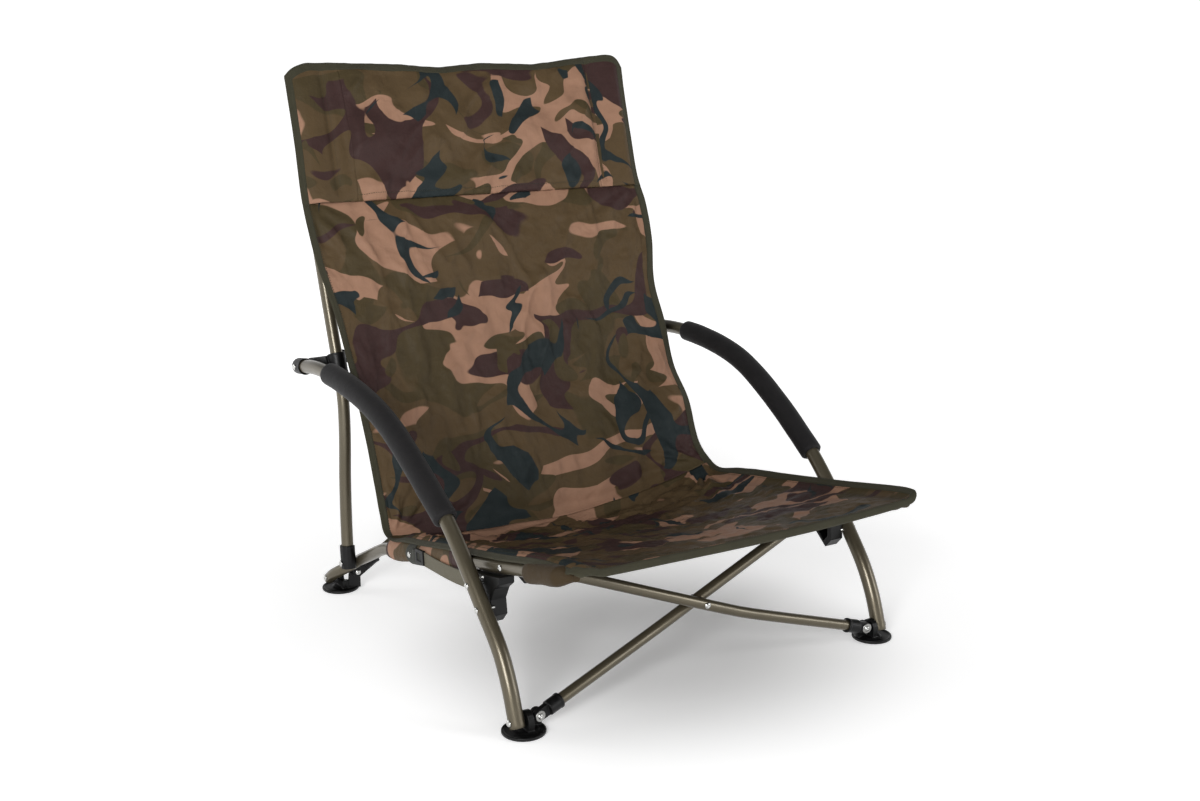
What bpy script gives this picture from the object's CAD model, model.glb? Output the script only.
import math
import bpy
import bmesh
import numpy as np
from mathutils import Matrix, Vector


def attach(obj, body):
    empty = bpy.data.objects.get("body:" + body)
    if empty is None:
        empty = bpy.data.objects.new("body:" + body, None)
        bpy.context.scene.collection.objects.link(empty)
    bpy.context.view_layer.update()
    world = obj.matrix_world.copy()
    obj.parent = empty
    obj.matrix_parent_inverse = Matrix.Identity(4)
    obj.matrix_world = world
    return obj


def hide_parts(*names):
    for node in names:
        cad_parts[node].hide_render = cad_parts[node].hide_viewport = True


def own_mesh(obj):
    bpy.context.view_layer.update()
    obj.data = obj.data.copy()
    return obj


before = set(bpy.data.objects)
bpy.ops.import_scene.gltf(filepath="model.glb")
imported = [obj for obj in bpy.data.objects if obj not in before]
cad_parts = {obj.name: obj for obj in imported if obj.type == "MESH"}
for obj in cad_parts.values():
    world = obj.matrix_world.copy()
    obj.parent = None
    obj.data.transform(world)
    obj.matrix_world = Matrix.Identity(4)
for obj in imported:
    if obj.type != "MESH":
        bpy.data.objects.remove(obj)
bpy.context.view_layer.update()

# ------------------------------------------------------------------ frame of the measurements
# Millimetres from the line of the front feet; SHIFT moves them to the middle of the base.
SHIFT = 323.6
SCENE = bpy.context.scene
COLL = SCENE.collection


def metres(p):
    p = np.asarray(p, float)
    out = p / 1000.0
    out[..., 1] -= SHIFT / 1000.0
    return out


def unit(v):
    v = np.asarray(v, float)
    return v / np.maximum(np.linalg.norm(v, axis=-1, keepdims=True), 1e-12)


def smoothstep(a, b, x):
    t = np.clip((np.asarray(x, float) - a) / (b - a), 0, 1)
    return t * t * (3 - 2 * t)


# ------------------------------------------------------------------ smooth noise, the same on every run
def gradient_noise(x, y, seed):
    x, y = np.asarray(x, float), np.asarray(y, float)
    xi, yi = np.floor(x).astype(np.int64), np.floor(y).astype(np.int64)
    xf, yf = x - xi, y - yi

    def grad(ix, iy):
        h = (ix * 374761393 + iy * 668265263 + seed * 974634777) & 0xFFFFFFFF
        h = ((h ^ (h >> 13)) * 1274126177) & 0xFFFFFFFF
        h = (h ^ (h >> 16)) & 0xFFFFFFFF
        a = h / 4294967296.0 * 2 * np.pi
        return np.cos(a), np.sin(a)

    def dot(ix, iy, fx, fy):
        gx, gy = grad(ix, iy)
        return gx * fx + gy * fy

    u, v = xf ** 3 * (xf * (xf * 6 - 15) + 10), yf ** 3 * (yf * (yf * 6 - 15) + 10)
    n00, n10 = dot(xi, yi, xf, yf), dot(xi + 1, yi, xf - 1, yf)
    n01, n11 = dot(xi, yi + 1, xf, yf - 1), dot(xi + 1, yi + 1, xf - 1, yf - 1)
    return ((n00 * (1 - u) + n10 * u) * (1 - v) + (n01 * (1 - u) + n11 * u) * v) * 1.41


# ------------------------------------------------------------------ colours and materials
def lin(hexcode):
    c = [int(hexcode[i:i + 2], 16) / 255 for i in (1, 3, 5)]
    return tuple(v / 12.92 if v <= 0.04045 else ((v + 0.055) / 1.055) ** 2.4 for v in c) + (1.0,)


class Nodes:
    """Short names for building a node material."""

    def __init__(self, name):
        self.m = bpy.data.materials.new(name)
        self.m.use_nodes = True
        self.t = self.m.node_tree
        self.b = self.t.nodes["Principled BSDF"]

    def put(self, socket, value):
        if isinstance(value, bpy.types.NodeSocket):
            self.t.links.new(value, socket)
        else:
            socket.default_value = value

    def node(self, kind, props=None, **inputs):
        n = self.t.nodes.new(kind)
        for k, v in (props or {}).items():
            setattr(n, k, v)
        for k, v in inputs.items():
            self.put(n.inputs[k.replace("_", " ")], v)
        return n

    def math(self, op, a, b=0.0, c=None, clamp=False):
        n = self.t.nodes.new("ShaderNodeMath")
        n.operation, n.use_clamp = op, clamp
        self.put(n.inputs[0], a)
        self.put(n.inputs[1], b)
        if c is not None:
            self.put(n.inputs[2], c)
        return n.outputs[0]

    def vmath(self, op, a, b):
        n = self.t.nodes.new("ShaderNodeVectorMath")
        n.operation = op
        self.put(n.inputs[0], a)
        self.put(n.inputs[1], b)
        return n.outputs[0]

    def mix(self, fac, a, b, kind="MIX"):
        n = self.t.nodes.new("ShaderNodeMix")
        n.data_type, n.blend_type = "RGBA", kind
        self.put(n.inputs[0], fac)
        self.put(n.inputs[6], a)
        self.put(n.inputs[7], b)
        return n.outputs[2]

    def noise(self, vec, scale, detail=2.0, rough=0.5, distort=0.0):
        n = self.node("ShaderNodeTexNoise", None, Vector=vec, Scale=scale, Detail=detail, Roughness=rough, Distortion=distort)
        return n.outputs["Fac"]

    def ramp(self, value, lo, hi, to_lo=0.0, to_hi=1.0):
        n = self.t.nodes.new("ShaderNodeMapRange")
        n.clamp = True
        self.put(n.inputs[0], value)
        self.put(n.inputs[1], lo)
        self.put(n.inputs[2], hi)
        self.put(n.inputs[3], to_lo)
        self.put(n.inputs[4], to_hi)
        return n.outputs[0]

    def attribute(self, name):
        n = self.t.nodes.new("ShaderNodeAttribute")
        n.attribute_name = name
        return n.outputs["Vector"]

    def object_space(self):
        return self.t.nodes.new("ShaderNodeTexCoord").outputs["Object"]

    def bump(self, height, strength, distance, normal=None):
        n = self.t.nodes.new("ShaderNodeBump")
        n.inputs["Strength"].default_value = strength
        n.inputs["Distance"].default_value = distance
        self.put(n.inputs["Height"], height)
        if normal is not None:
            self.put(n.inputs["Normal"], normal)
        return n.outputs["Normal"]

    def out(self, **inputs):
        for k, v in inputs.items():
            self.put(self.b.inputs[k.replace("_", " ")], v)
        return self.m


def weave(n, cloth, period, strength, distance, crumple=0.0):
    """Plain weave in the cloth's own coordinates, over soft small crumples."""
    k = 2 * math.pi / period
    sep = n.node("ShaderNodeSeparateXYZ", None, Vector=cloth)
    a = n.math("SINE", n.math("MULTIPLY", sep.outputs[0], k))
    b = n.math("SINE", n.math("MULTIPLY", sep.outputs[1], k))
    w = n.math("MULTIPLY", a, b)
    normal = None
    if crumple:
        c = n.noise(cloth, 55.0, 3.0, 0.55, 0.6)
        normal = n.bump(c, 1.0, crumple)
    return w, n.bump(w, strength, distance, normal)


OLIVE_BROWN, OLIVE, TAN, PLUM, SLATE = "#4b3c28", "#3f3522", "#8b6a56", "#362523", "#1f2627"


def camo_material(name, reverse=False):
    n = Nodes(name)
    cloth = n.attribute("cloth")
    warp = n.node("ShaderNodeTexNoise", None, Vector=cloth, Scale=10.0, Detail=1.0, Roughness=0.4)
    shift = n.vmath("MULTIPLY", n.vmath("SUBTRACT", warp.outputs["Color"], (0.5, 0.5, 0.5)), (0.075, 0.075, 0.0))
    base = n.vmath("ADD", cloth, shift)

    def blobs(offset, scale, stretch, level, detail=1.2, rough=0.35, distort=0.35, edge=0.003):
        v = n.vmath("MULTIPLY", n.vmath("ADD", base, offset), stretch)
        return n.ramp(n.noise(v, scale, detail, rough, distort), level - edge, level + edge)

    def bands(offset, scale, stretch, width, gate_offset, gate_scale, gate_level, distort=0.6, taper=0.05, detail=1.0):
        """Winding bands that swell and taper off where their gate falls."""
        v = n.vmath("MULTIPLY", n.vmath("ADD", base, offset), stretch)
        f = n.noise(v, scale, detail, 0.4, distort)
        d = n.math("ABSOLUTE", n.math("SUBTRACT", f, 0.5))
        g = n.noise(n.vmath("ADD", base, gate_offset), gate_scale, 1.0, 0.4, 0.3)
        w = n.math("MULTIPLY", n.ramp(g, gate_level - taper, gate_level + taper), width)
        return n.ramp(n.math("SUBTRACT", w, d), 0.0004, 0.0030)

    def either(a, b):
        return n.math("MAXIMUM", a, b)

    col = lin(OLIVE_BROWN)
    col = n.mix(either(blobs((1.7, 4.1, 0.3), 7.0, (0.85, 1.1, 1.0), 0.56),
                       bands((4.7, 8.1, 1.3), 5.0, (0.9, 1.1, 1.0), 0.035, (2.2, 6.6, 0.4), 6.0, 0.53)), col, lin(OLIVE))
    col = n.mix(either(blobs((7.3, 2.2, 1.9), 8.0, (0.8, 1.25, 1.0), 0.60, 1.5, 0.42, 0.5),
                       bands((9.1, 3.3, 6.2), 5.2, (0.85, 1.2, 1.0), 0.074, (3.7, 1.2, 8.8), 6.0, 0.50, 0.8)), col, lin(TAN))
    col = n.mix(either(blobs((3.9, 9.4, 5.1), 8.4, (0.75, 1.3, 1.0), 0.622, 1.5, 0.42, 0.5),
                       bands((6.4, 1.9, 3.3), 5.0, (0.8, 1.3, 1.0), 0.052, (7.9, 5.2, 2.1), 6.8, 0.515, 0.9)), col, lin(PLUM))
    col = n.mix(blobs((12.6, 5.8, 7.7), 12.0, (1.1, 0.85, 1.0), 0.675, 1.2, 0.4, 0.8), col, lin(OLIVE))
    col = n.mix(either(bands((5.5, 15.2, 2.4), 5.6, (1.2, 0.9, 1.0), 0.032, (8.8, 3.1, 4.2), 6.2, 0.562, 0.9, 0.03, 1.4),
                       bands((2.5, 11.2, 8.4), 8.5, (0.9, 1.1, 1.0), 0.05, (6.1, 9.7, 1.4), 7.5, 0.62, 0.6, 0.03)), col, lin(SLATE))
    # small unevenness of the print and a slight darkening in the gaps of the weave
    fade = n.ramp(n.noise(cloth, 30.0, 4.0, 0.6), 0.3, 0.7, 0.93, 1.06)
    w, normal = weave(n, cloth, 0.0011, 0.35, 0.00012, 0.0014)
    grey = n.math("MULTIPLY", fade, n.ramp(w, -1.0, 1.0, 0.95, 1.03))
    tone = n.node("ShaderNodeCombineXYZ", None, X=grey, Y=grey, Z=grey).outputs[0]
    col = n.mix(1.0, col, tone, "MULTIPLY")
    if reverse:
        # the print shows faintly through the coated back of the cloth
        col = n.mix(0.86, col, lin("#2b2720"))
    rough = n.ramp(n.noise(cloth, 80.0, 2.0), 0.3, 0.7, 0.52, 0.64)
    n.b.inputs["Specular IOR Level"].default_value = 0.14
    return n.out(Base_Color=col, Roughness=rough, Normal=normal)


def plain_cloth(name, colour, period=0.0011, crumple=0.001, ribs=None, vary=0.08):
    n = Nodes(name)
    cloth = n.attribute("cloth")
    w, normal = weave(n, cloth, period, 0.4, 0.00014, crumple)
    if ribs:
        sep = n.node("ShaderNodeSeparateXYZ", None, Vector=cloth)
        r = n.math("SINE", n.math("MULTIPLY", sep.outputs[0], 2 * math.pi / ribs))
        normal = n.bump(r, 0.5, 0.00025, normal)
    f = n.ramp(n.noise(cloth, 45.0, 4.0, 0.6), 0.3, 0.7, 1 - vary, 1 + vary)
    grey = n.math("MULTIPLY", f, n.ramp(w, -1.0, 1.0, 0.94, 1.04))
    tone = n.node("ShaderNodeCombineXYZ", None, X=grey, Y=grey, Z=grey).outputs[0]
    n.b.inputs["Sheen Weight"].default_value = 0.04
    n.b.inputs["Sheen Roughness"].default_value = 0.45
    n.b.inputs["Specular IOR Level"].default_value = 0.2
    return n.out(Base_Color=n.mix(1.0, lin(colour), tone, "MULTIPLY"),
                 Roughness=n.ramp(n.noise(cloth, 90.0, 2.0), 0.3, 0.7, 0.68, 0.8), Normal=normal)


def paint_material(name):
    """Metallic brown-olive stove enamel."""
    n = Nodes(name)
    p = n.object_space()
    flake = n.noise(p, 2600.0, 2.0, 0.7)
    broad = n.noise(p, 18.0, 3.0, 0.55)
    col = n.mix(n.ramp(flake, 0.35, 0.7), lin("#4e4738"), lin("#676050"))
    col = n.mix(n.ramp(broad, 0.3, 0.75, 0.0, 0.25), col, lin("#443e30"))
    peel = n.noise(p, 420.0, 2.0, 0.5)
    n.b.inputs["Metallic"].default_value = 0.62
    n.b.inputs["Coat Weight"].default_value = 0.25
    n.b.inputs["Coat Roughness"].default_value = 0.12
    return n.out(Base_Color=col, Roughness=n.ramp(broad, 0.3, 0.7, 0.28, 0.36), Normal=n.bump(peel, 0.12, 0.0002))


def plastic_material(name, colour="#080808", lo=0.34, hi=0.48):
    n = Nodes(name)
    p = n.object_space()
    grain = n.noise(p, 1500.0, 3.0, 0.6)
    scuff = n.noise(p, 60.0, 4.0, 0.6)
    col = n.mix(n.ramp(scuff, 0.45, 0.8), lin(colour), lin("#101011"))
    n.b.inputs["Specular IOR Level"].default_value = 0.25
    return n.out(Base_Color=col, Roughness=n.ramp(scuff, 0.3, 0.7, lo, hi), Normal=n.bump(grain, 0.25, 0.00015))


def foam_material(name):
    n = Nodes(name)
    p = n.object_space()
    cells = n.node("ShaderNodeTexVoronoi", None, Vector=p, Scale=900.0).outputs["Distance"]
    soft = n.noise(p, 70.0, 4.0, 0.6)
    col = n.mix(n.ramp(soft, 0.3, 0.7), lin("#100f10"), lin("#191718"))
    normal = n.bump(soft, 0.5, 0.0012, n.bump(cells, 0.35, 0.0003))
    n.b.inputs["Sheen Weight"].default_value = 0.06
    n.b.inputs["Sheen Roughness"].default_value = 0.5
    n.b.inputs["Specular IOR Level"].default_value = 0.22
    return n.out(Base_Color=col, Roughness=n.ramp(soft, 0.3, 0.7, 0.68, 0.82), Normal=normal)


def steel_material(name, colour="#d2d2cf", rough=(0.14, 0.26)):
    n = Nodes(name)
    p = n.object_space()
    s = n.noise(p, 500.0, 3.0, 0.6)
    n.b.inputs["Metallic"].default_value = 1.0
    return n.out(Base_Color=n.mix(n.ramp(s, 0.3, 0.7), lin(colour), lin("#b4b4b2")),
                 Roughness=n.ramp(s, 0.3, 0.7, *rough), Normal=n.bump(s, 0.1, 0.0001))


M_CAMO = camo_material("sling camo")
M_CAMO_BACK = camo_material("sling reverse", reverse=True)
M_BIND = plain_cloth("edge binding", "#343225", 0.0009, 0.0006, ribs=0.0016)
M_POUCH = plain_cloth("pouch cloth", "#342816", 0.0011, 0.0012)
M_WEB = plain_cloth("webbing", "#5b574a", 0.0014, 0.0004, ribs=0.0018, vary=0.05)
M_TAB = plain_cloth("strap tab", "#2f302a", 0.0012, 0.0005, ribs=0.0016)
M_THREAD = plain_cloth("thread", "#2c2d20", 0.0005, 0.0)
M_PAINT = paint_material("tube paint")
M_PLASTIC = plastic_material("black nylon")
M_FOAM = foam_material("black foam")
M_STEEL = steel_material("rivet steel")
M_WASHER = steel_material("washer steel", "#8f8e8a", (0.3, 0.45))


# ------------------------------------------------------------------ making pieces
def piece(name, verts, faces, material, smooth=True, sharp=None, cloth=None, in_metres=False):
    me = bpy.data.meshes.new(name)
    v = np.asarray(verts, float).reshape(-1, 3)
    if not in_metres:
        v = metres(v)
    me.from_pydata([tuple(p) for p in v], [], [tuple(int(i) for i in f) for f in faces])
    me.validate(clean_customdata=False)
    if cloth is not None:
        a = me.attributes.new("cloth", "FLOAT_VECTOR", "POINT")
        a.data.foreach_set("vector", np.asarray(cloth, np.float32).ravel())
    me.polygons.foreach_set("use_smooth", [smooth] * len(me.polygons))
    if sharp:
        me.set_sharp_from_angle(angle=math.radians(sharp))
    me.materials.append(material)
    ob = bpy.data.objects.new(name, me)
    COLL.objects.link(ob)
    return ob


def finish_piece(ob, body, slot, *nodes):
    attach(ob, body)
    if nodes:
        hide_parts(*nodes)
    return ob


def evaluated(ob, name):
    """The object's mesh with its modifiers applied, as a new mesh; the helper object is removed."""
    dg = bpy.context.evaluated_depsgraph_get()
    me = bpy.data.meshes.new_from_object(ob.evaluated_get(dg))
    me.name = name
    bpy.data.objects.remove(ob)
    return me


def transport(P, up=None):
    """Tangent, normal and binormal along a path, turning as little as possible."""
    P = np.asarray(P, float)
    T = np.zeros_like(P)
    T[1:-1] = unit(P[2:] - P[:-2])
    T[0], T[-1] = unit(P[1] - P[0]), unit(P[-1] - P[-2])
    n = np.array([0, 0, 1.0]) if up is None else np.array(up, float)
    if abs(n @ T[0]) > 0.95:
        n = np.array([0, 1.0, 0])
    N = np.zeros_like(P)
    for i in range(len(P)):
        n = n - (n @ T[i]) * T[i]
        n = n / np.linalg.norm(n)
        N[i] = n
    return T, N, np.cross(T, N)


def smooth_path(points, step=5.0):
    """A centripetal Catmull-Rom curve through the points, resampled evenly."""
    P = np.asarray(points, float)
    P = np.vstack([2 * P[0] - P[1], P, 2 * P[-1] - P[-2]])
    out = []
    for i in range(1, len(P) - 2):
        p0, p1, p2, p3 = P[i - 1:i + 3]
        t0 = 0.0
        t1 = t0 + np.linalg.norm(p1 - p0) ** 0.5
        t2 = t1 + np.linalg.norm(p2 - p1) ** 0.5
        t3 = t2 + np.linalg.norm(p3 - p2) ** 0.5
        k = max(2, int(np.ceil(np.linalg.norm(p2 - p1) / step)) * 2)
        t = np.linspace(t1, t2, k, endpoint=False)[:, None]
        a1 = (t1 - t) / (t1 - t0) * p0 + (t - t0) / (t1 - t0) * p1
        a2 = (t2 - t) / (t2 - t1) * p1 + (t - t1) / (t2 - t1) * p2
        a3 = (t3 - t) / (t3 - t2) * p2 + (t - t2) / (t3 - t2) * p3
        b1 = (t2 - t) / (t2 - t0) * a1 + (t - t0) / (t2 - t0) * a2
        b2 = (t3 - t) / (t3 - t1) * a2 + (t - t1) / (t3 - t1) * a3
        out.append((t2 - t) / (t2 - t1) * b1 + (t - t1) / (t2 - t1) * b2)
    out = np.vstack(out + [P[-2][None]])
    d = np.concatenate([[0], np.cumsum(np.linalg.norm(np.diff(out, axis=0), axis=1))])
    at = np.linspace(0, d[-1], max(2, int(round(d[-1] / step)) + 1))
    return np.stack([np.interp(at, d, out[:, k]) for k in range(3)], 1)


def rings(centres, A, B, ra, rb, sides):
    """Rings of points round the centres: A and B are the directions, ra and rb the half axes."""
    a = np.linspace(0, 2 * np.pi, sides, endpoint=False)
    c, s = np.cos(a), np.sin(a)
    ra, rb = np.broadcast_to(ra, len(centres)), np.broadcast_to(rb, len(centres))
    return (centres[:, None, :] + A[:, None, :] * (ra[:, None] * c)[..., None] + B[:, None, :] * (rb[:, None] * s)[..., None])


def join_rings(R, closed=False, flip=False):
    """Faces between rings of the same size, in order."""
    m, k = R.shape[0], R.shape[1]
    f = []
    for i in range(m - 1 + (1 if closed else 0)):
        a, b = i * k, ((i + 1) % m) * k
        for j in range(k):
            q = (a + j, a + (j + 1) % k, b + (j + 1) % k, b + j)
            f.append(q[::-1] if flip else q)
    return f


def hollow_tube(points, radius, wall, sides=32, step=5.0):
    """A tube with a wall and slightly rounded rims, closed as one ring-shaped body."""
    P = smooth_path(points, step)
    T, N, B = transport(P)
    r = np.full(len(P), float(radius))
    e = 0.35
    outer_c = np.vstack([P[0], P[0] + T[0] * e, P[1:-1], P[-1] - T[-1] * e, P[-1]])
    oN = np.vstack([N[0], N[0], N[1:-1], N[-1], N[-1]])
    oB = np.vstack([B[0], B[0], B[1:-1], B[-1], B[-1]])
    orad = np.concatenate([[radius - e], r[:-2] * 0 + radius, [radius, radius - e]])
    orad = np.full(len(outer_c), float(radius)); orad[0] = orad[-1] = radius - e
    irad = np.full(len(outer_c), float(radius - wall)); irad[0] = irad[-1] = radius - wall + e * 0.5
    O = rings(outer_c, oN, oB, orad, orad, sides)
    I = rings(outer_c[::-1], oN[::-1], oB[::-1], irad, irad, sides)
    R = np.concatenate([O, I])
    return R.reshape(-1, 3), join_rings(R, closed=True)


def solid_sweep(P, A, B, ra, rb, sides=24, cap=0.6):
    """A bar with rounded ends."""
    P, A, B = np.asarray(P, float), np.asarray(A, float), np.asarray(B, float)
    ra, rb = np.broadcast_to(ra, len(P)).astype(float), np.broadcast_to(rb, len(P)).astype(float)
    T0, T1 = unit(P[1] - P[0]), unit(P[-1] - P[-2])
    c = min(cap, 0.9 * float(min(ra.min(), rb.min())))
    C, CA, CB, RA, RB = [P[0]], [A[0]], [B[0]], [ra[0] - c], [rb[0] - c]
    for k in (0.3, 1.0):
        C.append(P[0] + T0 * c * (1 - math.cos(k * math.pi / 2))); CA.append(A[0]); CB.append(B[0])
        RA.append(ra[0] - c + c * math.sin(k * math.pi / 2)); RB.append(rb[0] - c + c * math.sin(k * math.pi / 2))
    for i in range(1, len(P) - 1):
        C.append(P[i]); CA.append(A[i]); CB.append(B[i]); RA.append(ra[i]); RB.append(rb[i])
    for k in (1.0, 0.3):
        C.append(P[-1] - T1 * c * (1 - math.cos(k * math.pi / 2))); CA.append(A[-1]); CB.append(B[-1])
        RA.append(ra[-1] - c + c * math.sin(k * math.pi / 2)); RB.append(rb[-1] - c + c * math.sin(k * math.pi / 2))
    C.append(P[-1]); CA.append(A[-1]); CB.append(B[-1]); RA.append(ra[-1] - c); RB.append(rb[-1] - c)
    R = rings(np.array(C), np.array(CA), np.array(CB), np.array(RA), np.array(RB), sides)
    v = R.reshape(-1, 3)
    f = join_rings(R)
    n = len(v)
    v = np.vstack([v, np.array(C[0])[None], np.array(C[-1])[None]])
    last = (R.shape[0] - 1) * sides
    for j in range(sides):
        f.append((n, (j + 1) % sides, j))
        f.append((n + 1, last + j, last + (j + 1) % sides))
    return v, f


def lathe(a, d, profile, sides=32):
    """A turned body on the axis from a along d; the profile is (radius, height), closed on the axis or on itself."""
    d = unit(d)
    h = np.array([0, 0, 1.0]) if abs(d[2]) < 0.9 else np.array([1.0, 0, 0])
    A = unit(np.cross(h, d)); B = np.cross(d, A)
    a = np.asarray(a, float)
    ang = np.linspace(0, 2 * np.pi, sides, endpoint=False)
    ring_dir = np.cos(ang)[:, None] * A + np.sin(ang)[:, None] * B
    v, idx = [], []
    for r, z in profile:
        if r < 1e-9:
            idx.append([len(v)]); v.append(a + d * z)
        else:
            idx.append(list(range(len(v), len(v) + sides)))
            v.extend(a + d * z + ring_dir * r)
    on_axis = len(idx[0]) == 1 and len(idx[-1]) == 1
    pairs = list(zip(idx[:-1], idx[1:])) + ([] if on_axis else [(idx[-1], idx[0])])
    f = []
    for p, q in pairs:
        for j in range(sides):
            k = (j + 1) % sides
            if len(p) == 1 and len(q) == 1:
                continue
            if len(p) == 1:
                f.append((p[0], q[k], q[j]))
            elif len(q) == 1:
                f.append((p[j], p[k], q[0]))
            else:
                f.append((p[j], p[k], q[k], q[j]))
    return np.array(v), f


def merged(*parts):
    v, f, n = [], [], 0
    for pv, pf in parts:
        v.append(np.asarray(pv, float)); f += [tuple(i + n for i in q) for q in pf]; n += len(pv)
    return np.vstack(v), f


def moulded(name, node, extras=(), voxel=0.75, rounds=6, material=None, keep=0.45, sharpness=None):
    """A moulded plastic piece: the construction's own solid, with finer round shapes added, fused into one skin
    and its edges eased."""
    bm = bmesh.new()
    if node:
        bm.from_mesh(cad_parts[node].data)
        bmesh.ops.remove_doubles(bm, verts=bm.verts, dist=2e-6)
    for v, f in extras:
        new = [bm.verts.new(p) for p in metres(v)]
        for q in f:
            try:
                bm.faces.new([new[i] for i in q])
            except ValueError:
                pass
    me = bpy.data.meshes.new(name + "_raw")
    bm.to_mesh(me); bm.free()
    ob = bpy.data.objects.new(name + "_raw", me)
    COLL.objects.link(ob)
    r = ob.modifiers.new("fuse", "REMESH"); r.mode = "VOXEL"; r.voxel_size = voxel / 1000.0; r.use_smooth_shade = True
    s = ob.modifiers.new("ease", "SMOOTH"); s.factor = 0.5; s.iterations = rounds
    d = ob.modifiers.new("lighten", "DECIMATE"); d.ratio = keep
    me2 = evaluated(ob, name)
    me2.polygons.foreach_set("use_smooth", [True] * len(me2.polygons))
    me2.materials.clear(); me2.materials.append(material or M_PLASTIC)
    out = bpy.data.objects.new(name, me2)
    COLL.objects.link(out)
    return out


def rivet(a, b, head=5.2, tall=1.8, blind=False, washer=0.0, shank=2.4):
    """A riveted pin from a to b: domed heads with a small set mark, on a plain shank."""
    a, b = np.asarray(a, float), np.asarray(b, float)
    L = float(np.linalg.norm(b - a))
    h, t = head, tall
    near = [(0, -t * 0.62), (0.16 * h, -t * 0.66), (0.26 * h, -t * 0.97), (0.42 * h, -t), (0.62 * h, -t * 0.86),
            (0.8 * h, -t * 0.55), (0.93 * h, -t * 0.2), (h, 0.0), (h, 0.35), (0.96 * h, 0.5), (shank, 0.5)]
    if blind:
        tail = [(shank, L), (0, L)]
    else:
        tail = [(shank, L - 0.5), (0.96 * h, L - 0.5), (h, L - 0.35), (h, L), (0.93 * h, L + t * 0.2), (0.8 * h, L + t * 0.55),
                (0.62 * h, L + t * 0.86), (0.42 * h, L + t), (0, L + t)]
    return lathe(a, b - a, near + tail, 28)


def disc_washer(a, d, r_out, r_in, thick):
    return lathe(a, d, [(r_in, 0), (r_out - 0.3, 0), (r_out, 0.3), (r_out, thick - 0.3), (r_out - 0.3, thick), (r_in, thick)], 36)


# ------------------------------------------------------------------ frame geometry (the construction's stations)
ARM = [[313.3, -3.8, 10.5], [313.6, -1, 18], [314, 15, 61], [314.5, 38, 102], [317, 80, 150], [319.5, 126, 201],
       [321.4, 175, 246.5], [324, 217, 274], [326, 257, 300], [329, 331, 341], [332, 383, 361], [334, 437, 373],
       [335, 500, 380.5], [335, 541, 382.6], [335, 600, 381], [335, 668, 372]]
UPRIGHT = [[309, 561, 58], [308.8, 564, 85], [308, 567, 110], [307, 569, 160], [306, 569, 210], [305, 567, 255],
           [304, 567.5, 290], [303, 571.5, 330], [302.5, 582.5, 371], [302.5, 588, 387], [302.5, 676, 645], [300, 712, 751],
           [297.5, 738, 827]]
RAIL = [[313, 639, 15], [313, 632, 20], [312.4, 621, 27.5], [303, 599, 42], [291.5, 581, 55], [289.5, 572, 60.8],
        [289.5, 563, 65.5], [289.8, 520, 86.5], [290, 480, 106], [290, 459, 115], [290, 440, 120.3], [290, 425, 125.5],
        [290, 150, 187.5], [290, -72, 237.1]]
FRONT = {"_r": [[283, -6, 22], [62, 10, 87], [-240, 43, 200]], "_l": [[-283, -6, 22], [-62, 33, 87], [240, 61, 200]]}
REAR = {"_l": [[-281, 597.5, 34], [281, 597.5, 392]], "_r": [[281, 614.5, 34], [-281, 614.5, 392]]}
FRONT_AXIS = {"_l": np.array([0.12794241, -0.99177816, -0.00261091]), "_r": np.array([0.10390767, 0.99408324, 0.03164962])}
P_ARM_FRONT, P_ARM_REAR, P_RAIL_FOOT, P_HINGE, P_HUB = (-1, 18), (660, 373), (632, 20), (563, 65.5), (64, 207)


def mir(s, pts):
    p = np.array(pts, float)
    p[..., 0] *= s
    return p


def tube_piece(name, node, body, pts, radius, wall=1.5, sides=32, step=5.0):
    v, f = hollow_tube(pts, radius, wall, sides, step)
    return finish_piece(piece(name, v, f, M_PAINT, sharp=50), body, "tube_paint", node)


def rivet_piece(name, body, a, b, *nodes, **k):
    v, f = rivet(a, b, **k)
    return finish_piece(piece(name, v, f, M_STEEL, sharp=60), body, "rivet_steel", *nodes)


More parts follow.
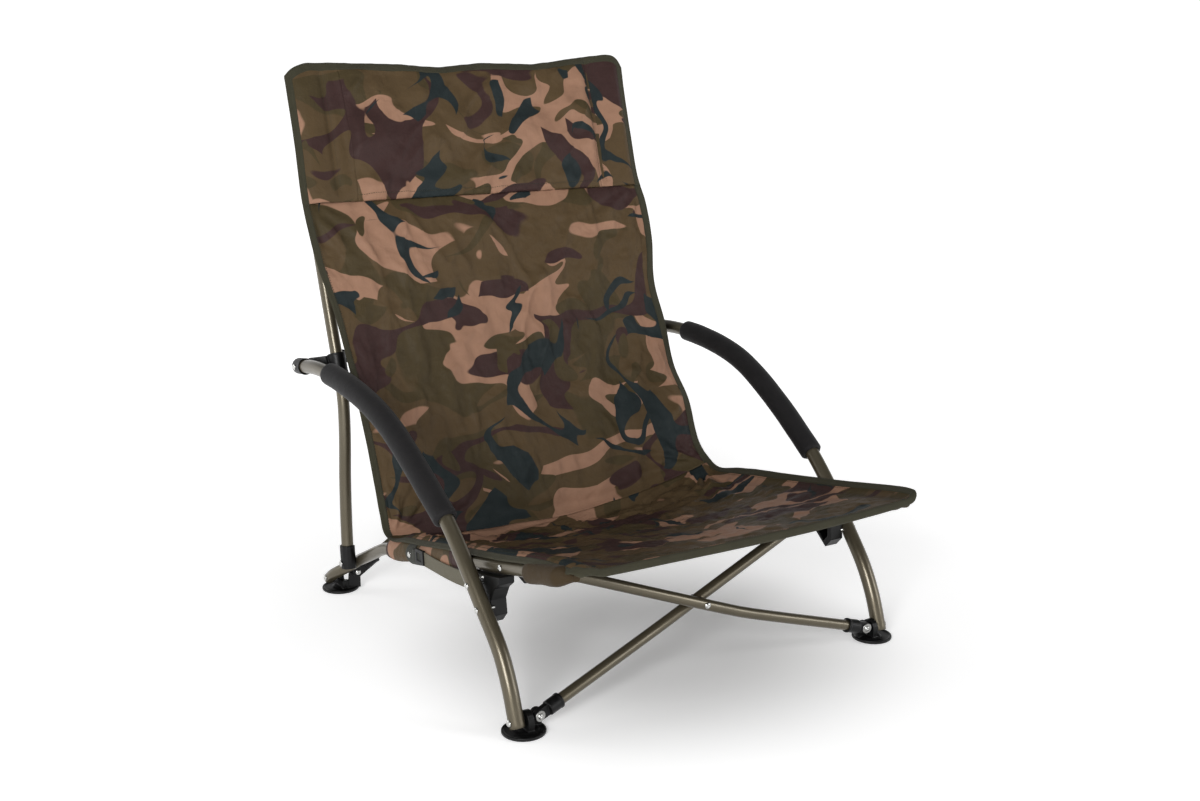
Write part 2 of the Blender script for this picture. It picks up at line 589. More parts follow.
for s, t in ((-1, "_l"), (1, "_r")):
    arm, upright, rail = mir(s, ARM), mir(s, UPRIGHT), mir(s, RAIL)
    tube_piece("arm" + t, "arm_tube" + t, "arm" + t, arm, 11.0, sides=36)
    tube_piece("upright_tube" + t, "upright" + t, "upright" + t, upright, 9.5)
    tube_piece("rail_tube" + t, "seat_rail" + t, "rail" + t, rail, 9.5)

    # foam grip: a thick sleeve with softly rolled ends and a slightly uneven skin
    P = smooth_path(arm[6:14], 3.0)
    T, N, B = transport(P)
    d = np.concatenate([[0], np.cumsum(np.linalg.norm(np.diff(P, axis=0), axis=1))])
    edge = np.minimum(d, d[-1] - d)
    rr = 17.4 - 2.6 * np.clip(1 - edge / 4.0, 0, 1) ** 2.2
    rr += 0.25 * gradient_noise(d / 38.0, d * 0 + 3.3, 11 if s < 0 else 12)
    sides = 40
    O = rings(P, N, B, rr, rr, sides)
    I = rings(P[::-1], N[::-1], B[::-1], 12.0, 12.0, sides)
    R = np.concatenate([O, I])
    foam = piece("foam_sleeve" + t, R.reshape(-1, 3), join_rings(R, closed=True), M_FOAM, sharp=60)
    finish_piece(foam, "arm" + t, "foam", "foam_grip" + t)

    # feet: disc with a raised lip, the hub block of the tube and the ear of the cross tube
    for kind, x, y in (("front", 302, 0), ("rear", 300, 623)):
        disc = lathe([s * x, y, 0], [0, 0, 1], [(0, 0.0), (27.6, 0.0), (29.2, 0.5), (30.0, 1.6), (30.0, 4.2), (29.4, 5.1), (28.2, 5.4),
                                                (27.0, 5.0), (26.2, 4.1), (24.0, 3.9), (0, 3.9)], 72)
        step_up = lathe([s * (x - 4), y, 3.0], [0, 0, 1], [(0, 0), (17.5, 0), (17.0, 1.4), (15.5, 2.2), (0, 2.2)], 48)
        ob = moulded(f"{kind}_disc_foot{t}", f"{kind}_foot{t}", [disc, step_up], voxel=0.7, rounds=5)
        finish_piece(ob, f"{kind}_foot{t}", "black_plastic", f"{kind}_foot{t}")

    e0, e1 = arm[14] + (arm[15] - arm[14]) * 0.62, arm[15]
    ed = unit(e1 - e0)
    L = float(np.linalg.norm(e1 - e0))
    cap = lathe(e0, ed, [(11.6, 0), (13.0, 0), (13.4, 0.5), (13.4, 2.6), (13.1, 3.2), (13.1, L + 1.0), (12.2, L + 3.0), (10.2, L + 4.0), (0, L + 4.2),
                         (0, L + 0.6), (11.6, L + 0.6)], 48)
    v, f = cap
    finish_piece(moulded("arm_rear_cap" + t, "arm_end_cap" + t, [cap], voxel=0.5, rounds=3), "arm" + t, "black_plastic", "arm_end_cap" + t)

    ob = moulded("rail_bracket" + t, "support_bracket" + t, [], voxel=0.8, rounds=7)
    finish_piece(ob, "arm" + t, "black_plastic", "support_bracket" + t)
    pad = disc_washer([s * 299, 108, 181.5], [0, 0.22, 0.975], 11.0, 3.0, 2.6)
    finish_piece(piece("bracket_pad" + t, *pad, M_WASHER, sharp=40), "arm" + t, "black_plastic")

    # sliding collar with a lip at each end
    c, cu = np.array([s * 302.5, 588, 387.0]), np.array([0, 0.32265, 0.94652])
    ringlip = [lathe(c + cu * k, cu, [(10.6, 0), (13.7, 0), (14.2, 0.6), (14.2, 2.6), (13.7, 3.2), (10.6, 3.2)], 48) for k in (-16.0, 12.8)]
    barrel = lathe(c - cu * 16, cu, [(10.6, 0), (13.7, 0), (13.7, 32), (10.6, 32)], 48)
    finish_piece(moulded("slide_collar" + t, "collar" + t, ringlip + [barrel], voxel=0.7, rounds=4), "collar" + t, "black_plastic", "collar" + t)

    finish_piece(moulded("hinge_sleeve" + t, "upright_sleeve" + t, [], voxel=0.6, rounds=5), "upright" + t, "black_plastic", "upright_sleeve" + t)
    finish_piece(moulded("hub_ear" + t, "front_hub" + t, [], voxel=0.7, rounds=3), "front_hub" + t, "black_plastic", "front_hub" + t)
    finish_piece(moulded("slider_buckle" + t, "strap_buckle" + t, [], voxel=0.5, rounds=4), "rail" + t, "black_plastic", "strap_buckle" + t)

    rivet_piece("pin_arm_front" + t, "front_foot" + t, [s * 325.0, *P_ARM_FRONT], [s * 294, *P_ARM_FRONT], "rivet_arm_front" + t, blind=True)
    rivet_piece("pin_arm_rear" + t, "arm" + t, [s * 348.6, *P_ARM_REAR], [s * 314.8, *P_ARM_REAR], "rivet_arm_rear" + t)
    rivet_piece("pin_rail_foot" + t, "rear_foot" + t, [s * 323.2, *P_RAIL_FOOT], [s * 293.7, *P_RAIL_FOOT], "rivet_rail_foot" + t)
    rivet_piece("pin_hinge" + t, "upright" + t, [s * 322.3, *P_HINGE], [s * 281, *P_HINGE], "rivet_hinge" + t, blind=True)
    rivet_piece("pin_hub" + t, "rail" + t, [s * 300.2, *P_HUB], [s * 276, *P_HUB], "rivet_hub" + t, blind=True, head=4.6, tall=1.3)
    rivet_piece("bracket_rivet_low" + t, "arm" + t, [s * 328.2, 79, 148.5], [s * 301, 79, 148.5], blind=True, head=4.6, tall=1.9)
    rivet_piece("bracket_rivet_high" + t, "arm" + t, [s * 329.6, 103, 175.5], [s * 301, 103, 175.5], blind=True, head=4.6, tall=1.9)
    rivet_piece("bracket_inner_rivet" + t, "arm" + t, [s * 281.2, 72.5, 181], [s * 290, 72.5, 181], blind=True, head=4.4, tall=1.4)

    # cross tubes with their end sockets
    low, high = [np.array(p, float) for p in REAR[t]]
    d = unit(high - low)
    tube_piece("rear_cross" + t, "rear_cross_tube" + t, "rear_cross" + t, [low + d * 20, (low + high) / 2, high - d * 20], 8.0, 1.3, 28, 12.0)
    path = [np.array(p, float) for p in FRONT[t]]
    d0, d1 = unit(path[1] - path[0]), unit(path[1] - path[2])
    tube_piece("front_cross" + t, "front_cross_tube" + t, "front_cross" + t,
               [path[0] + d0 * 20, path[0] + (path[1] - path[0]) * 0.8, path[1] + (path[0] - path[1]) * 0.04 + (path[2] - path[1]) * 0.03,
                path[1] + (path[2] - path[1]) * 0.16, path[2] + d1 * 20], 8.0, 1.3, 28, 6.0)
    for nm, P0, dd, reach in (("rear_cross_low_socket", low, d, 40), ("rear_cross_top_socket", high, -d, 40),
                              ("front_cross_low_socket", path[0], d0, 38), ("front_cross_top_socket", path[2], d1, 38)):
        body = nm.rsplit("_", 2)[0] + t
        mouth = lathe(P0 + dd * (reach - 4.0), dd, [(8.4, 0), (10.6, 0), (11.0, 0.6), (11.0, 3.4), (10.6, 4.0), (8.4, 4.0)], 40)
        barrel = lathe(P0 + dd * 17, dd, [(8.4, 0), (10.4, 0), (10.4, reach - 17), (8.4, reach - 17)], 40)
        finish_piece(moulded(nm.replace("socket", "end") + t, nm + t, [mouth, barrel], voxel=0.6, rounds=4), body, "black_plastic", nm + t)

    # rivets of the sockets
    n = FRONT_AXIS[t] * (1 if t == "_l" else -1)  # towards the front
    Pf = path[0]
    rivet_piece("front_socket_rivet" + t, "front_cross" + t, Pf + n * 5.6, Pf - n * 10.8, head=4.2, tall=1.7)
    w = disc_washer(Pf + n * 4.1, n, 7.6, 2.3, 1.2)
    finish_piece(piece("front_socket_washer" + t, *w, M_WASHER, sharp=40), "front_cross" + t, "rivet_steel")
    y0 = 597.5 - 6.4 if t == "_l" else 614.5 + 6.4
    y1 = 608.7 if t == "_l" else 603.3
    rivet_piece("rear_socket_rivet" + t, "rear_cross" + t, [s * 281, y0, 34], [s * 281, y1, 34], head=4.6, tall=1.6)
    y0, y1 = (610.1, 626.8) if t == "_l" else (593.1, 609.8)
    rivet_piece("collar_socket_rivet" + t, "collar" + t, [s * 281, y0, 392], [s * 281, y1, 392], head=4.6, tall=1.6)
    y0, y1 = (32.2, 47.4) if t == "_l" else (50.0, 65.4)
    rivet_piece("hub_socket_rivet" + t, "front_hub" + t, [s * 240, y0, 200], [s * 240, y1, 200], head=4.4, tall=1.5)

rivet_piece("pin_rear_cross", "rear_cross_l", [0, 606 - 17.0, 213], [0, 606 + 17.0, 213], "rivet_rear_cross")
rivet_piece("pin_front_cross_front", "front_cross_r", [0, 8.6, 110.6], [0, 24.6, 110.6], blind=True, head=4.8, tall=1.8)
rivet_piece("pin_front_cross_back", "front_cross_l", [0, 47.0, 110.6], [0, 31.0, 110.6], blind=True, head=4.8, tall=1.8)
sp = lathe([0, 25.1, 110.6], [0, 1, 0], [(0, 0), (6.2, 0), (6.6, 0.5), (6.6, 4.9), (6.2, 5.4), (0, 5.4)], 32)
finish_piece(piece("front_cross_spacer", *sp, M_PLASTIC, sharp=40), "front_cross_r", "black_plastic")


# ------------------------------------------------------------------ the sling
# Rows down the sling: left edge (x, y, z), middle (y, z), right edge (x, y, z). The first 12 rows are the back.
def plane(z):
    return 434 + 0.4221 * (z - 143)


ROWS = [
    ((-316.5, plane(868), 868), (plane(868), 868), (318, plane(868), 868)),
    ((-319, plane(790), 790), (plane(790) + 1, 790), (308.7, plane(790), 790)),
    ((-322.3, plane(720), 720), (plane(720) + 2, 720), (303, plane(720), 720)),
    ((-327.2, plane(650), 650), (plane(650) + 2, 650), (298.3, plane(650), 650)),
    ((-327, plane(600), 600), (plane(600) + 3, 600), (303.6, plane(600), 600)),
    ((-322.6, plane(540), 540), (plane(540) + 7, 540), (300, plane(540), 540)),
    ((-310.4, plane(470), 470), (plane(470) + 11, 470), (288, plane(470) + 4, 470)),
    ((-304.5, plane(400), 400), (plane(400) + 13, 400), (293.7, plane(400) + 7, 400)),
    ((-300.8, plane(330), 330), (plane(330) + 13, 330), (294.2, plane(330) + 9, 330)),
    ((-299.2, plane(270), 270), (plane(270) + 11, 270), (304, plane(270) + 3, 274)),
    ((-299.5, plane(215), 215), (plane(215) + 8, 216), (297, plane(215) - 6, 226)),
    ((-300.5, 447, 176), (454, 170), (297, 443, 202)),
    ((-301, 433, 151), (437, 131), (298, 423, 186)),
    ((-299.5, 408, 145.5), (412, 116.5), (298, 385, 171)),
    ((-298, 365, 155.5), (370, 121.5), (298, 332, 174.5)),
    ((-297.5, 300, 168.5), (300, 138), (297, 280, 184)),
    ((-298, 220, 186.5), (220, 157), (296.5, 205, 195.5)),
    ((-298.5, 140, 203), (140, 177), (296.5, 130, 208)),
    ((-298, 60, 219), (60, 197.5), (296, 60, 220)),
    ((-295.5, -20, 237), (-20, 220), (294.5, -20, 235.5)),
    ((-290, -84, 244.5), (-84, 238), (289.5, -80, 247)),
    ((-286.5, -99, 246.5), (-99, 245), (286.5, -94, 251)),
    ((-285, -105, 238.5), (-105.5, 236.5), (284.5, -100, 244)),
    ((-284.5, -107, 226.5), (-107.5, 224), (283.5, -103, 232)),
]
ROW_SEAM, ROW_FOLD = 3.24, 12.3


def catmull(values, u):
    """Uniform Catmull-Rom through rows of values at the float row number u."""
    v = np.asarray(values, float)
    v = np.vstack([2 * v[0] - v[1], v, 2 * v[-1] - v[-2]])
    u = np.clip(np.asarray(u, float), 0, len(values) - 1 - 1e-9)
    i = np.floor(u).astype(int)
    t = (u - i)[..., None]
    p0, p1, p2, p3 = v[i], v[i + 1], v[i + 2], v[i + 3]
    return 0.5 * ((2 * p1) + (-p0 + p2) * t + (2 * p0 - 5 * p1 + 4 * p2 - p3) * t ** 2 + (-p0 + 3 * p1 - 3 * p2 + p3) * t ** 3)


LEFT = [r[0] for r in ROWS]
MID = [(0.0,) + r[1] for r in ROWS]
RIGHT = [r[2] for r in ROWS]

# distance down the middle of the sling for each row number, which is the cloth's own length coordinate
_u = np.linspace(0, len(ROWS) - 1, 1200)
_m = catmull(MID, _u)
_d = np.concatenate([[0], np.cumsum(np.linalg.norm(np.diff(_m, axis=0), axis=1))])


def down(u):
    return np.interp(u, _u, _d)


def row_at(dist):
    return np.interp(dist, _d, _u)


def base_point(q, u):
    """The sling without its folds: q from -1 at the left edge to 1 at the right, u the row."""
    q, u = np.broadcast_arrays(np.asarray(q, float), np.asarray(u, float))
    Lp, Mp, Rp = catmull(LEFT, u), catmull(MID, u), catmull(RIGHT, u)
    w = (np.abs(q) ** 2.0)[..., None]
    side = np.where((q < 0)[..., None], Lp, Rp)
    p = Mp * (1 - w) + side * w
    p[..., 0] = np.where(q < 0, -q * Lp[..., 0], q * Rp[..., 0])
    # the seat rises to a crest over the left rail and turns down to its bound edge; on the right the bound edge stands up
    k = smoothstep(12.4, 14.2, u) * (1 - 0.55 * smoothstep(19.5, 21.2, u))
    t = np.clip((np.abs(q) - 0.86) / 0.14, 0, 1)
    rim = 12.0 * np.clip((q - 0.925) / 0.075, 0, 1) ** 1.5
    p[..., 2] += k * np.where(q < 0, 12.5 * np.sin(np.pi * t ** 1.25) * np.where(t > 0, 1, 0), rim)
    return p


def base_normal(q, u):
    e = 0.02
    a = base_point(np.clip(q + e, -1, 1), u) - base_point(np.clip(q - e, -1, 1), u)
    b = base_point(q, np.clip(u + e, 0, len(ROWS) - 1)) - base_point(q, np.clip(u - e, 0, len(ROWS) - 1))
    return -unit(np.cross(a, b))  # towards the sitter


def ridge(x, y, seed, width=0.14):
    """Narrow pinched folds that follow the zero lines of a noise."""
    return np.exp(-np.abs(gradient_noise(x, y, seed)) / width)


def patch(x, y, seed, lo=0.0, hi=0.3):
    return smoothstep(lo, hi, gradient_noise(x, y, seed))


def crumple(x, s, seed):
    """Small creases with sharp valleys."""
    wx = x + 9.0 * gradient_noise(x / 45.0, s / 45.0, seed + 100)
    ws = s + 9.0 * gradient_noise(x / 45.0, s / 45.0, seed + 101)
    return (2.2 * np.abs(gradient_noise(wx / 40.0, ws / 52.0, seed)) + 1.1 * np.abs(gradient_noise(wx / 18.0, ws / 24.0, seed + 1))
            + 0.35 * gradient_noise(wx / 9.0, ws / 12.0, seed + 2))


def fan(x, s, cx, cs, sx, down_sign, count, seed, reach, start=12.0):
    """Folds that run out from a corner, sharp on their crests."""
    dx, ds = (x - cx) * -sx, (s - cs) * down_sign
    r = np.hypot(dx, ds) + 1e-6
    ang = np.arctan2(ds, dx)
    w = np.sin(ang * count + 2.4 * gradient_noise(r / 85.0, ang * 2.2, seed))
    w = np.sign(w) * np.abs(w) ** 1.5 + 0.5 * (1 - np.abs(w)) ** 2
    return w * np.exp(-(r / reach) ** 2) * smoothstep(start, start + 34, r)


def folds(q, u):
    """How far the cloth stands off its base surface, in mm."""
    x = np.where(q < 0, q * 303.0, q * 300.0)
    s = down(u)
    s_seam, s_fold = down(ROW_SEAM), down(ROW_FOLD)
    from_seam = s - s_seam
    from_fold = s - s_fold
    side = 1 - np.abs(q)
    # the bound edges lie nearly still
    pin = smoothstep(0.0, 0.07 + 0.09 * smoothstep(-20, 30, from_fold), side)
    h = np.zeros_like(x)

    # broad waves and soft upright folds of the back
    back = smoothstep(-6, 60, from_seam) * smoothstep(20, -70, from_fold)
    h += back * 7.5 * gradient_noise(x / 200.0, s / 260.0 + 4.2, 21)
    h += back * 7.2 * gradient_noise(x / 62.0 + 0.22 * s / 100.0, s / 230.0, 22)
    h += back * 3.4 * gradient_noise(x / 27.0 - 0.25 * s / 100.0, s / 140.0, 23)
    h += back * 8.0 * ridge(x / 66.0 + s / 330.0, s / 210.0, 24) * patch(x / 120.0, s / 150.0, 25)
    h += back * 7.0 * ridge(x / 54.0 - s / 260.0, s / 180.0, 26) * patch(x / 110.0, s / 140.0, 27)
    h += back * 2.0 * crumple(x, s, 28)
    # long soft slanting waves low on the back
    low = smoothstep(120, 260, from_seam) * smoothstep(10, -60, from_fold)
    h += low * 7.0 * gradient_noise((x * 0.9 + s * 0.42) / 44.0, (s * 0.9 - x * 0.42) / 190.0, 29) * smoothstep(0, 0.3, side)
    # slanting pulls from the lower corners and from the ends of the seam
    for sx, seed in ((-1, 31), (1, 32)):
        h += back * 4.0 * fan(x, s, sx * 287.0, s_fold, sx, -1, 15, seed, 160.0)
        h += back * 3.6 * fan(x, s, sx * 290.0, s_seam, sx, 1, 12, seed + 5, 130.0, 8.0)
    # gathers just below the seam
    near = np.exp(-np.clip(from_seam, 0, None) / 30.0) * (from_seam > -1)
    h += 4.6 * gradient_noise(x / 17.0, s / 80.0, 41) * near - 5.0 * np.exp(-np.clip(from_seam, 0, None) / 20.0)
    # crosswise folds where the back turns into the seat
    turn = np.exp(-(from_fold / 46.0) ** 2)
    h += turn * 6.0 * gradient_noise(x / 150.0 + s / 190.0, s / 21.0, 51) * (0.6 + 0.4 * (1 - q ** 2))
    # seat: long crosswise creases at the rear that die out towards the front
    seat = smoothstep(-10, 30, from_fold)
    rear = np.exp(-(np.clip(from_fold, 0, None) / 190.0) ** 2)
    drift = 0.5 * gradient_noise(x / 90.0, s / 90.0, 61)
    h += seat * rear * 6.5 * gradient_noise(x / 170.0 + drift, s / 19.0 + 0.006 * x, 62)
    h += seat * rear * 6.0 * ridge(x / 190.0 + drift, s / 26.0 + 0.008 * x, 63) * patch(x / 90.0, s / 60.0, 64, -0.1, 0.2)
    h += seat * rear * 4.8 * ridge(x / 150.0, s / 20.0 - 0.009 * x, 65) * patch(x / 80.0, s / 50.0, 66, -0.05, 0.25)
    for sx, seed in ((-1, 71), (1, 72)):
        h += seat * 5.2 * fan(x, s, sx * 284.0, s_fold - 4, sx, 1, 17, seed, 200.0, 10.0)
    h += seat * 4.0 * gradient_noise(x / 120.0, s / 105.0, 81) * smoothstep(0, 0.3, side)
    h += seat * 1.8 * gradient_noise(x / 48.0, s / 36.0, 82) * smoothstep(0, 0.2, side)
    h += seat * 2.0 * ridge(x / 130.0, s / 60.0, 83) * patch(x / 90.0, s / 90.0, 84) * smoothstep(0, 0.2, side)
    h += seat * 1.5 * crumple(x, s * 1.3, 86)
    # the front hem lies flat
    hem = smoothstep(down(22.0) + 2, down(22.0) - 55, s)
    return h * pin * hem


def head_folds(q, u):
    """The headrest band stands proud of the back as a soft pillow, drawn in at its seams."""
    x = np.where(q < 0, q * 318.0, q * 313.0)
    s = down(u)
    s0, s1 = down(row_top(x)), down(ROW_SEAM)
    t = np.clip((s - s0) / (s1 - s0), 0, 1)
    middle = smoothstep(1.0, 0.90, np.abs(x) / 240.0)
    pillow = (np.clip(4 * t * (1 - t), 0, 1) ** 0.5) * (8.5 + 7.5 * t)
    h = 2.0 + 1.8 * middle * t + pillow * (0.3 + 0.7 * middle)
    calm = smoothstep(0, 0.2, t) * smoothstep(1, 0.88, t)
    h += middle * 7.0 * gradient_noise(x / 95.0, s / 62.0, 91) * calm
    h += middle * 5.2 * gradient_noise(x / 38.0, s / 70.0, 92) * smoothstep(0, 0.1, t)
    h += middle * 6.0 * ridge(x / 60.0 + s / 90.0, s / 90.0, 95) * patch(x / 80.0, s / 60.0, 96) * calm
    h += (0.5 + 1.0 * middle) * crumple(x, s, 88) * smoothstep(0, 0.1, t)
    # gathers above the seam, and light ones under the top binding
    h += 3.6 * gradient_noise(x / 14.0, s / 90.0, 93) * np.exp(-(s1 - s) / 30.0) * middle * 1.3
    h += 1.3 * gradient_noise(x / 15.0, s / 60.0, 94) * np.exp(-(s - s0) / 16.0)
    # the pockets are drawn tight over the tops of the uprights, with a groove at their double stitch line
    groove = np.exp(-((np.abs(x) - np.where(x < 0, 258.0, 240.0)) / 7.0) ** 2)
    h -= 4.8 * groove * np.where(x < 0, smoothstep(0.01, 0.12, t), smoothstep(0, 0.05, t)) * smoothstep(1.02, 0.9, t)
    bulge = np.exp(-((np.abs(x) - 288.0) / 17.0) ** 2)
    h += 4.4 * bulge * smoothstep(0.02, 0.2, t)
    # flat at the bound side edges
    wide = np.where(q < 0, 318.0, 313.0)
    return 0.6 + (h - 0.6) * smoothstep(0.0, 22.0, wide - np.abs(x))


TOP_X = [-321, -316.5, -312, -305, -295, -283, -234, -171, -119, -84, -49, -16, 31, 83, 131, 161, 203, 255, 284, 298, 306, 311, 314.5, 317]
TOP_Z = [821, 827, 832, 836.5, 841, 844.6, 844.8, 843.2, 841.5, 838.5, 836, 839, 842.4, 841.2, 839.8, 842.5, 847.6, 852.6, 855.4, 852.5, 848, 841, 831, 820]
_tx = np.linspace(-321, 317, 300)
_tz = np.interp(_tx, TOP_X, TOP_Z)
_k = np.hanning(11); _k /= _k.sum()
_tz = np.convolve(np.pad(_tz, 5, mode="edge"), _k, mode="valid")
_zrow = np.linspace(0, 2, 200)
_zval = catmull(MID, _zrow)[:, 2]


def row_top(x):
    z = np.interp(x, _tx, _tz)
    return np.interp(-z, -_zval, _zrow)


_frow = np.linspace(18, 22, 400)
_fdown = down(_frow)


def row_front(x):
    """The front edge, with its two rounded corners."""
    W, R = 294.0, np.where(np.asarray(x) < 0, 22.0, 19.0)
    over = np.clip(np.abs(x) - (W - R), 0, R)
    end = float(down(22.0)) + 4.0 - (R - np.sqrt(np.maximum(R * R - over * over, 0)))
    return np.interp(end, _fdown, _frow)


def sling_point(q, u, part, lift=0.0):
    h = head_folds(q, u) if part == "head" else folds(q, u)
    return base_point(q, u) + base_normal(q, u) * (h + lift)[..., None]


def grid_faces(rows, cols, flip=False):
    f = []
    for i in range(rows - 1):
        for j in range(cols - 1):
            a, b, c, d = i * cols + j, i * cols + j + 1, (i + 1) * cols + j + 1, (i + 1) * cols + j
            f.append((a, b, c, d) if flip else (d, c, b, a))
    return f


def cloth_coords(q, u, part):
    x = np.where(q < 0, q * 305.0, q * 300.0)
    s = down(u)
    if part == "head":
        return np.stack([x + 1240.0, s + 1625.0, x * 0], -1) / 1000.0
    if part == "seat":
        return np.stack([x + 270.0, s + 1360.0, x * 0], -1) / 1000.0
    return np.stack([x, s, x * 0], -1) / 1000.0


def sheet_piece(name, Q, U, part, thick=1.2, mats=None, flip=False, lift=0.0):
    P = sling_point(Q, U, part, np.full(Q.shape, lift))
    rows, cols = Q.shape
    ob = piece(name, P.reshape(-1, 3), grid_faces(rows, cols, flip), (mats or [M_CAMO])[0], cloth=cloth_coords(Q, U, part).reshape(-1, 3))
    for m in (mats or [M_CAMO, M_CAMO_BACK])[1:]:
        ob.data.materials.append(m)
    so = ob.modifiers.new("cloth thickness", "SOLIDIFY")
    so.thickness = thick / 1000.0
    so.offset = -1.0
    so.material_offset = 1
    so.material_offset_rim = 1
    return ob


SQ_SEAT = dict(joint="arm_fold_l", axis=(1, 0, 0), anchor=(-0.277, 0, 0), keep=0.20)
SQ_BACK = dict(joint="arm_fold_l", axis=(1, 0, 0), anchor=(-0.284, 0, 0), keep=0.22)
SQ_HEAD = dict(joint="arm_fold_l", axis=(1, 0, 0), anchor=(-0.232, 0, 0), keep=0.045)

BOTH = [M_CAMO, M_CAMO_BACK]
# lower back
Q_ALL = np.concatenate([np.linspace(-0.993, -0.86, 20, endpoint=False), np.linspace(-0.86, 0.86, 137), np.linspace(0.86, 0.993, 21)[1:]])
u = row_at(np.linspace(down(ROW_SEAM) - 9, down(ROW_FOLD), 170))
Q, U = np.meshgrid(Q_ALL, u)
back = sheet_piece("sling_back", Q, U, "back", mats=BOTH)
finish_piece(back, "back_sling", "sling_fabric", "back_panel")
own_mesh(back)

# seat
u0 = ROW_FOLD
t = np.concatenate([np.linspace(0, 0.95, 150), np.linspace(0.955, 1, 12)])
Q = np.broadcast_to(Q_ALL, (len(t), len(Q_ALL))).copy()
X = Q * 294.0
U = row_at(down(u0) + (down(row_front(X)) - down(u0)) * t[:, None])
seat = sheet_piece("sling_seat", Q, U, "seat", mats=BOTH)
finish_piece(seat, "rail_l", "sling_fabric", "seat_panel")
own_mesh(seat)


# headrest band: the middle is a soft closed pillow, the ends are pockets over the uprights
def head_grid(x0, x1, n, rows=54, extra=5.0):
    x = np.linspace(x0, x1, n)
    q = np.where(x < 0, x / 318.0, x / 313.0)
    t = np.linspace(0, 1, rows)
    Q = np.broadcast_to(q, (rows, n)).copy()
    X = np.broadcast_to(x, (rows, n))
    top = down(row_top(X))
    S = top + (down(ROW_SEAM) + extra - top) * t[:, None]
    return Q, row_at(S)


Q, U = head_grid(-233, 233, 131)
front = sling_point(Q, U, "head", np.zeros(Q.shape))
t = np.linspace(0, 1, Q.shape[0])[:, None]
rim = np.clip(np.minimum(t, 1 - t) / 0.06, 0, 1)
tt = np.sqrt(1 - (1 - rim) ** 2)
rear_lift = -1.2 - (1.2 + 3.0 * gradient_noise(Q * 4, U * 1.5, 97) ** 2) * tt
rear = base_point(Q, U) + base_normal(Q, U) * rear_lift[..., None]
rows, cols = Q.shape
n = rows * cols
f = grid_faces(rows, cols) + [tuple(i + n for i in g) for g in grid_faces(rows, cols, flip=True)]
ring = [i for i in range(cols)] + [i * cols + cols - 1 for i in range(1, rows)] + [(rows - 1) * cols + i for i in range(cols - 2, -1, -1)] + [i * cols for i in range(rows - 2, 0, -1)]
for a, b in zip(ring, ring[1:] + ring[:1]):
    f.append((a, b, b + n, a + n))
cl = cloth_coords(Q, U, "head").reshape(-1, 3)
cl2 = cl
head = piece("headrest_middle", np.vstack([front.reshape(-1, 3), rear.reshape(-1, 3)]), f, M_CAMO, cloth=np.vstack([cl, cl2]))
bm = bmesh.new(); bm.from_mesh(head.data); bmesh.ops.recalc_face_normals(bm, faces=bm.faces); bm.to_mesh(head.data); bm.free()
finish_piece(head, "upright_l", "sling_fabric", "headrest_panel")
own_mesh(head)

for s, t_ in ((-1, "_l"), (1, "_r")):
    xe = 317.0 if s < 0 else 312.0
    Q, U = head_grid(s * 229.0, s * (xe - 1.5), 36)
    pocket = sheet_piece("headrest_pocket" + t_, Q, U, "head", mats=BOTH, flip=(s < 0), lift=0.5)
    finish_piece(pocket, "upright" + t_, "sling_fabric")
    # the rear half of the pocket goes round behind the tube
    rows = 46
    tt = np.linspace(0, 1, rows)
    sections, coords = [], []
    up = np.array(UPRIGHT, float)
    for k, tk in enumerate(tt):
        def at(xx):
            top = float(down(row_top(np.array(s * xx))))
            ss = top + 1.5 + (float(down(ROW_SEAM)) + 3.0 - top) * tk
            qq = s * xx / (318.0 if s < 0 else 313.0)
            uu = float(row_at(ss))
            return sling_point(np.array(qq), np.array(uu), "head", np.array(-1.4))
        e, i = at(xe - 2.0), at(234.0)
        zz = 0.5 * (e[2] + i[2])
        zt = min(zz, 833.0)
        uy = float(np.interp(zt, up[:, 2], up[:, 1])); ux = float(np.interp(zt, up[:, 2], up[:, 0]))
        close = smoothstep(0.0, 0.10, tk)  # drawn together at the top hem
        gap = max(uy + 11.2 - e[1], 6.0) * (0.12 + 0.88 * close)
        ctrl = [e, e + np.array([-s * 1.5 * close, 0.35 * gap, 0]), np.array([s * (ux + 10.9 * close), e[1] + 0.70 * gap, zz]),
                np.array([s * (ux + 1.0), e[1] + 1.0 * gap, zz]), np.array([s * (ux - 12.0), e[1] + 0.88 * gap, zz]),
                np.array([s * 266.0, 0.5 * (e[1] + i[1]) + 0.42 * gap, zz]), np.array([s * 247.0, i[1] + 0.12 * gap, zz]), i]
        c = smooth_path(ctrl, 2.0)
        dd = np.concatenate([[0], np.cumsum(np.linalg.norm(np.diff(c, axis=0), axis=1))])
        m = np.linspace(0, dd[-1], 40)
        c = np.stack([np.interp(m, dd, c[:, j]) for j in range(3)], 1)
        c[:, 1] += 0.9 * gradient_noise(m / 30.0, np.full(40, tk * 4 + (0 if s < 0 else 9)), 101) * np.sin(np.linspace(0, np.pi, 40))
        sections.append(c)
        coords.append(np.stack([s * (310 + m), np.full(40, tk * 215.0 + 40), m * 0], 1) / 1000.0)
    R = np.array(sections)
    f = grid_faces(rows, 40, flip=(s > 0))
    wrap = piece("headrest_pocket_rear" + t_, R.reshape(-1, 3), f, M_CAMO, cloth=np.vstack(coords))
    so = wrap.modifiers.new("cloth thickness", "SOLIDIFY"); so.thickness = 0.0011; so.offset = 0.0
    finish_piece(wrap, "upright" + t_, "sling_fabric", "back_pocket" + t_)


